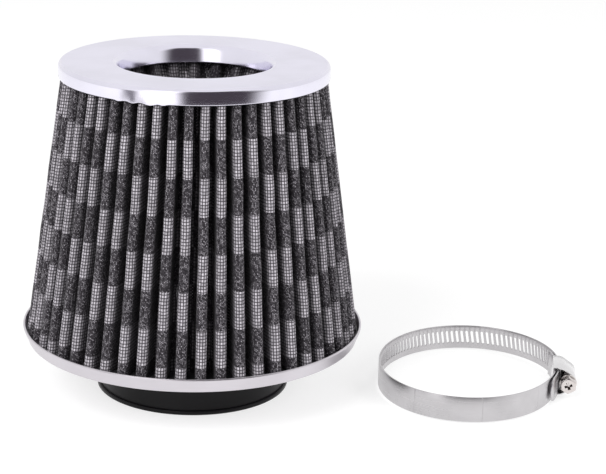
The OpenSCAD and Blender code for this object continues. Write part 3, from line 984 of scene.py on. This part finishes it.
def hexagon_head(start):
    """A hexagon with chamfered corners and a cross recess."""
    work = bmesh.new()
    bmesh.ops.create_cone(work, cap_ends=True, segments=6, radius1=HEAD_R, radius2=HEAD_R, depth=HEAD_H)
    head = link("screw_head", mesh_of("screw_head", work), head_steel)
    dome = head_dome()
    combine(head, "chamfer", "INTERSECT", dome)
    bars = [recess_bar(turn) for turn in (0, 90)]
    for bar in bars:
        combine(head, "recess", "DIFFERENCE", bar)
    soften_edges(head, 0.1 * MM, 35)
    baked(head)
    for cutter in [dome] + bars:
        bpy.data.objects.remove(cutter)
    mark_recess(head.data)
    upright = Matrix.Rotation(math.radians(90), 4, "X")
    head.data.transform(Matrix.Translation((SCREW_X, -start - HEAD_H / 2, 0)) @ upright)
    smooth(head.data, 30.0)
    return head


def mark_recess(mesh):
    """Marks the faces that lie in the recess, for the painted shade in them."""
    top = HEAD_H / 2
    lowest, highest = top - RECESS_DEPTH + 0.1 * MM, top - 0.08 * MM
    marks = mesh.attributes.new("recess", "FLOAT", "FACE")
    for face in mesh.polygons:
        inside = face.center.xy.length < RECESS_R and lowest < face.center.z < highest
        marks.data[face.index].value = 1.0 if inside else 0.0


def head_dome():
    """A slightly domed disc. What the hexagon shares with it has rounded top corners."""
    work = bmesh.new()
    steps = 64
    outline = [(0.0, -HEAD_H), (HEAD_R * 1.2, -HEAD_H), (HEAD_R * 1.2, HEAD_H * 0.2),
               (HEAD_R * 0.80, HEAD_H * 0.5), (0.0, HEAD_H * 0.52)]
    rings = []
    for r, z in outline:
        turns = [2 * math.pi * i / steps for i in range(steps)]
        rings.append([work.verts.new((r * math.cos(a), r * math.sin(a), z)) for a in turns])
    for low, high in zip(rings, rings[1:]):
        for i in range(steps):
            j = (i + 1) % steps
            work.faces.new((low[i], low[j], high[j], high[i]))
    bmesh.ops.remove_doubles(work, verts=work.verts, dist=1e-6)
    bmesh.ops.recalc_face_normals(work, faces=work.faces)
    return link("dome", mesh_of("dome", work), screw_steel)


def recess_bar(turn):
    """One of the two tapered bars that cut the driver's cross recess."""
    work = bmesh.new()
    width, length = 1.25 * MM, 5.0 * MM
    stand = Matrix.Rotation(math.radians(turn + RECESS_TURN), 3, "Z")
    for v in bmesh.ops.create_cube(work, size=1.0)["verts"]:
        narrow = 1.0 if v.co.z > 0 else 0.45
        x = v.co.x * length * narrow
        y = v.co.y * width * (0.7 + 0.3 * narrow)
        z = v.co.z * 2 * RECESS_DEPTH + HEAD_H / 2
        v.co = stand @ Vector((x, y, z))
    return link("recess_bar", mesh_of("recess_bar", work), head_steel)


clamp_housing()
clamp_screw()


# ---------------------------------------------------------------- CAD nodes that show or hide inside

NODE_FINISHES = {
    "top_sealant": sealant,
    "base_sealant": sealant,
    "inner_cone_sealant": sealant,
    "inner_cone_cup": plated_steel,
    "neck_washer": plated_steel,
    "outer_seam_clip": plated_steel,
    "inner_seam_clip": plated_steel,
    "outer_screen": screen_wire,
    "inner_screen": screen_wire,
}
for node_name, finish in NODE_FINISHES.items():
    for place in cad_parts[node_name].material_slots:
        place.material = finish


# ---------------------------------------------------------------- stage, light and camera

def bare_surface(name):
    """A material with an empty tree."""
    material = bpy.data.materials.new(name)
    material.use_nodes = True
    material.node_tree.nodes.clear()
    return material, Tree(material.node_tree)


def white_stage(name, own_light, paint):
    """A floor that reads as white to the eye and in reflections, and still takes a shadow."""
    material, tree = bare_surface(name)
    rays = tree.add("ShaderNodeLightPath")
    seen = rays.out("Is Camera Ray").at_least(rays.out("Is Glossy Ray")).at_least(
        rays.out("Is Transmission Ray"))
    matt = tree.add("ShaderNodeBsdfDiffuse", None, {"Color": (paint, paint, paint)})
    glow = tree.add("ShaderNodeEmission", None, {"Color": (1.0, 1.0, 1.0), "Strength": own_light})
    both = tree.add("ShaderNodeAddShader", None, {0: matt.out(), 1: glow.out()})
    pick = tree.add("ShaderNodeMixShader", None, {0: seen, 1: matt.out(), 2: both.out()})
    tree.add("ShaderNodeOutputMaterial", None, {"Surface": pick.out()})
    return material


def plane(name, size, material):
    half = size / 2
    mesh = bpy.data.meshes.new(name)
    corners = [(-half, -half, 0), (half, -half, 0), (half, half, 0), (-half, half, 0)]
    mesh.from_pydata(corners, [], [(0, 1, 2, 3)])
    return link(name, mesh, material)


def studio_screen(name, radius, tall, start, end, fade_in, fade_out, shade):
    """A curved screen of one shade, with sides that fade out. Only reflections see it."""
    material, tree = bare_surface(name)
    x, y, z = tree.parts(own_place(tree))
    turn = tree.maths("ARCTAN2", y, x) * (180 / math.pi)
    sides = turn.ramp(start, start + fade_in) * (1.0 - turn.ramp(end - fade_out, end))
    cover = sides * (1.0 - z.ramp(0.6 * tall, tall))
    strength = max(shade)
    tint = tuple(c / strength for c in shade)
    glow = tree.add("ShaderNodeEmission", None, {"Color": tint, "Strength": strength})
    clear = tree.add("ShaderNodeBsdfTransparent")
    mixed = tree.add("ShaderNodeMixShader", None, {0: cover, 1: clear.out(), 2: glow.out()})
    tree.add("ShaderNodeOutputMaterial", None, {"Surface": mixed.out()})
    steps = 24
    foot = arc(0, 0, radius, start, end, steps)
    points = [(px, py, 0.001) for px, py in foot] + [(px, py, tall) for px, py in foot]
    count = steps + 1
    mesh = bpy.data.meshes.new(name)
    mesh.from_pydata(points, [], [(i, i + 1, count + i + 1, count + i) for i in range(steps)])
    screen = link(name, mesh, material)
    screen.visible_camera = False
    screen.visible_diffuse = False
    screen.visible_shadow = False
    screen.visible_transmission = False


def soft_lamp(name, place, aim, size, power):
    lamp = bpy.data.lights.new(name, "AREA")
    lamp.shape = "RECTANGLE"
    lamp.size, lamp.size_y = size
    lamp.energy = power
    holder = bpy.data.objects.new(name, lamp)
    holder.location = place
    holder.rotation_euler = (Vector(aim) - Vector(place)).to_track_quat("-Z", "Y").to_euler()
    holder.visible_glossy = False
    bpy.context.scene.collection.objects.link(holder)


def white_world(even_light, seen_light):
    world = bpy.data.worlds.new("studio")
    bpy.context.scene.world = world
    world.use_nodes = True
    world.node_tree.nodes.clear()
    tree = Tree(world.node_tree)
    rays = tree.add("ShaderNodeLightPath")
    camera = rays.out("Is Camera Ray")
    mirror = rays.out("Is Glossy Ray").at_least(rays.out("Is Transmission Ray"))
    strength = camera.at_least(mirror * seen_light).at_least(even_light)
    glow = tree.add("ShaderNodeBackground", None, {"Color": (1.0, 1.0, 1.0), "Strength": strength})
    tree.add("ShaderNodeOutputWorld", None, {"Surface": glow.out()})


def camera():
    """Looks down on the filter from in front, a little turned to the clamp's side."""
    distance = 812.1 * MM
    height = 321.3 * MM
    pitch, yaw, roll = (math.radians(a) for a in (17.156, 3.531, 1.474))
    away = Vector((math.sin(yaw), math.cos(yaw), 0.0))
    ahead = away * math.cos(pitch) - Vector((0.0, 0.0, math.sin(pitch)))
    level = Vector((math.cos(yaw), -math.sin(yaw), 0.0))
    upright = level.cross(ahead)
    right = level * math.cos(roll) + upright * math.sin(roll)
    up = upright * math.cos(roll) - level * math.sin(roll)
    lens = bpy.data.cameras.new("camera")
    lens.sensor_width = 36.0
    lens.lens = 110.15
    lens.clip_start = 0.01
    view = bpy.data.objects.new("camera", lens)
    view.matrix_world = Matrix((
        (right.x, up.x, -ahead.x, 0.0),
        (right.y, up.y, -ahead.y, -distance),
        (right.z, up.z, -ahead.z, height),
        (0.0, 0.0, 0.0, 1.0)))
    bpy.context.scene.collection.objects.link(view)
    bpy.context.scene.camera = view


floor = plane("floor", 12.0, white_stage("white_floor", 0.68, 0.37))
studio_screen("dark_front", 0.30, 1.0, -107, -28, 12, 24, (0.066, 0.056, 0.066))
studio_screen("dark_left", 0.34, 0.2, -149, -130, 7, 8, (0.22, 0.21, 0.23))
studio_screen("light_left", 0.36, 1.0, -137, -98, 8, 6, (1.5, 1.48, 1.49))
white_world(0.62, 0.93)
LAMP_AIM = (0.03, 0.0, 0.07)
soft_lamp("key", (-0.9, -1.1, 1.3), LAMP_AIM, (0.9, 0.9), 26.0)
soft_lamp("fill", (1.2, -0.7, 0.9), LAMP_AIM, (0.8, 0.8), 9.0)
camera()
bpy.context.scene.view_settings.view_transform = "Standard"
